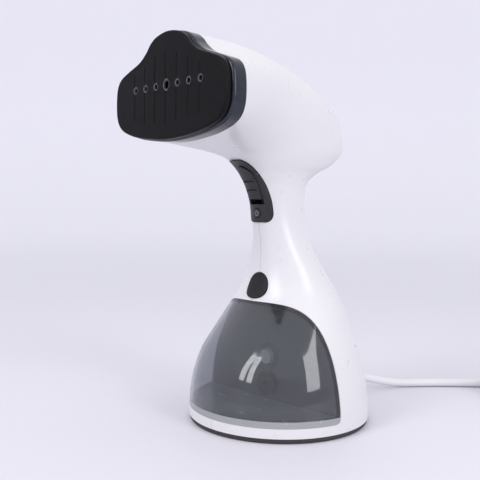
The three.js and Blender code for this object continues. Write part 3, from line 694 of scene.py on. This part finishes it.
# Cells the turns fill one after another: (radius, height of the cord's centre).
COIL_CELLS = [(33, 3.2), (27, 3.2), (27, 9.2), (33, 9.2), (33, 15.2), (39.2, 15.2), (39.2, 9.2),
              (39.2, 3.2)]
COIL_START = 135
COIL_TURNS = 7.375
POINTS_PER_TURN = 24
PLUG = (151, 148, 9)


def coil_point(turn):
    """The winding runs clockwise seen from above and steps to the next cell at the end of each turn.

    It drops to the last cell at the start of the last turn instead.
    """
    step = 0.125
    cell = min(int(turn), len(COIL_CELLS) - 1)
    part = turn - cell
    low, high = COIL_CELLS[cell], COIL_CELLS[min(cell + 1, len(COIL_CELLS) - 1)]
    share = max(0.0, (part - (1 - step)) / step)
    last_drop = len(COIL_CELLS) - 2
    if cell == last_drop:
        share = 0.0
    if cell > last_drop:
        low, high, share = COIL_CELLS[last_drop], COIL_CELLS[-1], min(1.0, part / step)
    share = share * share * (3 - 2 * share)
    radius, height = (a + (b - a) * share for a, b in zip(low, high))
    angle = math.radians(COIL_START) - 2 * math.pi * turn
    return (COIL_X + radius * math.cos(angle), COIL_Y + radius * math.sin(angle), height)


def cord_points():
    winding = [coil_point(i / POINTS_PER_TURN) for i in range(round(COIL_TURNS * POINTS_PER_TURN) + 1)]
    return CORD_ROUTE + winding + [(150.8, 176.5, 4.3), (151, 168, 6.9), (151, 161, 8.7), (151, 154, 9)]


def add_cord():
    points = cord_points()
    curve = bpy.data.curves.new("mains_cord", "CURVE")
    curve.dimensions = "3D"
    curve.bevel_depth = CORD_R * MM
    curve.bevel_resolution = 6
    curve.resolution_u = 6
    curve.use_fill_caps = True
    spline = curve.splines.new("BEZIER")
    spline.bezier_points.add(len(points) - 1)
    for knot, point in zip(spline.bezier_points, points):
        knot.co = [c * MM for c in point]
        knot.handle_left_type = knot.handle_right_type = "AUTO"
    curve.materials.append(finishes["cord_white"])
    cord = bpy.data.objects.new("mains_cord", curve)
    bpy.context.scene.collection.objects.link(cord)
    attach(cord, "root")
    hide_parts("cord", "cord_coil")
    return cord


def add_boot():
    """Strain relief: a flange inside the shell and a tapered sleeve with moulded rings."""
    start, end = 56.8, 83.0
    profile = [(2, 53.4), (7, 53.4), (7, 56.4), (5.1, 56.4), (5.1, 61.5)]
    rings = 6
    first_ring = 63.0
    pitch = (end - 1.5 - first_ring) / rings
    for k in range(rings):
        low = first_ring + k * pitch
        radius = 5.0 - 1.1 * (low - start) / (end - start)
        profile += [(radius, low), (radius, low + 0.62 * pitch), (radius - 0.6, low + 0.7 * pitch),
                    (radius - 0.6, low + 0.92 * pitch)]
    profile += [(3.9, end - 1.2), (3.7, end - 0.4), (3.3, end), (2, end)]
    boot = turned("cord_boot", profile, "y", (0, 0, CORD_EXIT_Z), 48)
    dress(boot, "cord_white", "root", ["strain_relief"], edge=0.12)
    return boot


def add_plug():
    """A two-pin plug that points towards the front: an oval grip with finger steps and a short neck."""
    x0, y0, z0 = PLUG
    # (distance from the neck's end along the plug, half width, half height)
    shape = [(-12, 3.4, 3.4), (-8, 3.7, 3.7), (-3, 4.6, 4.4), (-0.5, 6.6, 5.6), (0.4, 9.4, 7.0),
             (1.8, 11.6, 8.0), (4, 12.4, 8.4), (7, 12.2, 8.0), (10, 11.9, 7.7), (13, 12.2, 8.0),
             (16, 12.8, 8.5), (19.5, 13.1, 8.7), (21, 12.7, 8.4), (21.5, 11.9, 7.6)]
    count = 64
    fine = [catmull(shape, (len(shape) - 1) * i / 60) for i in range(61)]
    angles = [2 * math.pi * i / count for i in range(count)]
    power = 2.5
    rings = []
    for along, wide, tall in fine:
        squash = min(1.0, max(0.0, (along + 4) / 5))
        p = 2 + (power - 2) * squash
        radii = [(abs(math.cos(a)) ** p + abs(math.sin(a)) ** p) ** (-1 / p) for a in angles]
        rings.append([(x0 + wide * r * math.cos(a), y0 - along, z0 + tall * r * math.sin(a))
                      for a, r in zip(angles, radii)])
    grip = dress(loft("plug_grip", rings), "cord_white", "root", ["plug_body"], edge=0)
    pins = []
    for name, side in (("plug_pin_left", -1), ("plug_pin_right", 1)):
        tip = [(2 * math.cos(a), 38 + 2 * math.sin(a)) for a in (math.pi / 2 * i / 6 for i in range(6))]
        profile = [(0.4, 21.4), (2, 21.4), *tip, (0.1, 40)]
        pin = turned(name + "_rod", [(r, -h) for r, h in profile], "y", (x0 + side * 6.5, y0, z0), 24)
        pins.append(dress(pin, "steel", "root", [name]))
    return [grip, *pins]


# ---- studio ----
def floor_with_painted_shade(reach):
    """A matt backdrop with painted shade that makes it a little darker under the steamer than out on the
    wall.
    """
    material = finish("studio_floor", (0.9, 0.89, 0.965), 0.6, shade=0.995, relief=0.0)
    nodes, links = material.node_tree.nodes, material.node_tree.links
    coords = nodes.new("ShaderNodeTexCoord")
    mapping = nodes.new("ShaderNodeMapping")
    mapping.inputs["Scale"].default_value = (1 / reach, 1 / reach, 1 / reach)
    # Painted shade: a spherical gradient darkens the floor's colour within about 0.7 m of the steamer and
    # fades to the pale colour out on the wall.
    gradient = nodes.new("ShaderNodeTexGradient")
    gradient.gradient_type = "SPHERICAL"
    ramp = nodes.new("ShaderNodeValToRGB")
    ramp.color_ramp.elements[0].color = (0.915, 0.905, 0.955, 1)
    ramp.color_ramp.elements[1].color = (0.72, 0.71, 0.765, 1)
    ramp.color_ramp.elements[1].position = 0.75
    links.new(coords.outputs["Object"], mapping.inputs["Vector"])
    links.new(mapping.outputs["Vector"], gradient.inputs["Vector"])
    links.new(gradient.outputs["Fac"], ramp.inputs["Fac"])
    links.new(ramp.outputs["Color"], nodes["Principled BSDF"].inputs["Base Color"])
    return material


def add_backdrop():
    """A plain pale floor, in metres, that rises into a soft wall all round."""
    flat, rise, top = 2.0, 0.9, 1.35
    steps = 12
    count = 96
    turns = [math.pi / 2 * i / steps for i in range(1, steps + 1)]
    profile = [(r, 0.0) for r in (0.4, 1.0, 1.6, flat)]
    profile += [(flat + rise * math.sin(a), rise * (1 - math.cos(a))) for a in turns]
    profile.append((flat + rise, top))
    angles = [2 * math.pi * i / count for i in range(count)]
    vertices = [(0, 0, 0)]
    for r, h in profile:
        vertices += [(r * math.cos(a) / MM, r * math.sin(a) / MM, h / MM) for a in angles]
    faces = [(0, 1 + i, 1 + (i + 1) % count) for i in range(count)]
    for k in range(len(profile) - 1):
        a, b = 1 + k * count, 1 + (k + 1) * count
        faces += [(a + i, b + i, b + (i + 1) % count, a + (i + 1) % count) for i in range(count)]
    floor = mesh_piece("studio_floor", vertices, faces)
    for face in floor.data.polygons:
        face.use_smooth = True
    floor.data.materials.append(floor_with_painted_shade(flat + rise))


def add_studio():
    """The backdrop, an even pale sky and three soft lamps."""
    add_backdrop()
    world = bpy.data.worlds.new("studio")
    world.use_nodes = True
    world.node_tree.nodes["Background"].inputs["Color"].default_value = (0.95, 0.95, 1, 1)
    world.node_tree.nodes["Background"].inputs["Strength"].default_value = 0.94
    bpy.context.scene.world = world
    bpy.context.scene.view_settings.view_transform = "Standard"
    # (name, place, aim, width, height, power)
    lamps = [("key_left", (-0.20, -1.28, 0.92), (0, 0, 0.1), 0.2, 0.9, 3.6),
             ("key_right", (0.05, -1.31, 0.92), (0, 0, 0.1), 0.2, 0.9, 3.6),
             ("right_strip", (1.15, -0.05, 0.6), (0, 0, 0.1), 0.4, 0.8, 5)]
    for name, place, aim, width, height, power in lamps:
        light = bpy.data.lights.new(name, "AREA")
        light.shape = "RECTANGLE"
        light.size, light.size_y = width, height
        light.energy = power
        lamp = bpy.data.objects.new(name, light)
        bpy.context.scene.collection.objects.link(lamp)
        lamp.location = place
        lamp.rotation_euler = (Vector(place) - Vector(aim)).to_track_quat("Z", "Y").to_euler()


add_camera()
finishes = make_finishes()
cord = add_cord()
boot = add_boot()
plug_pieces = add_plug()
add_housing()
add_foot()
add_tank()
add_head()
add_trigger_module()
add_release()
paint_nodes()
add_studio()
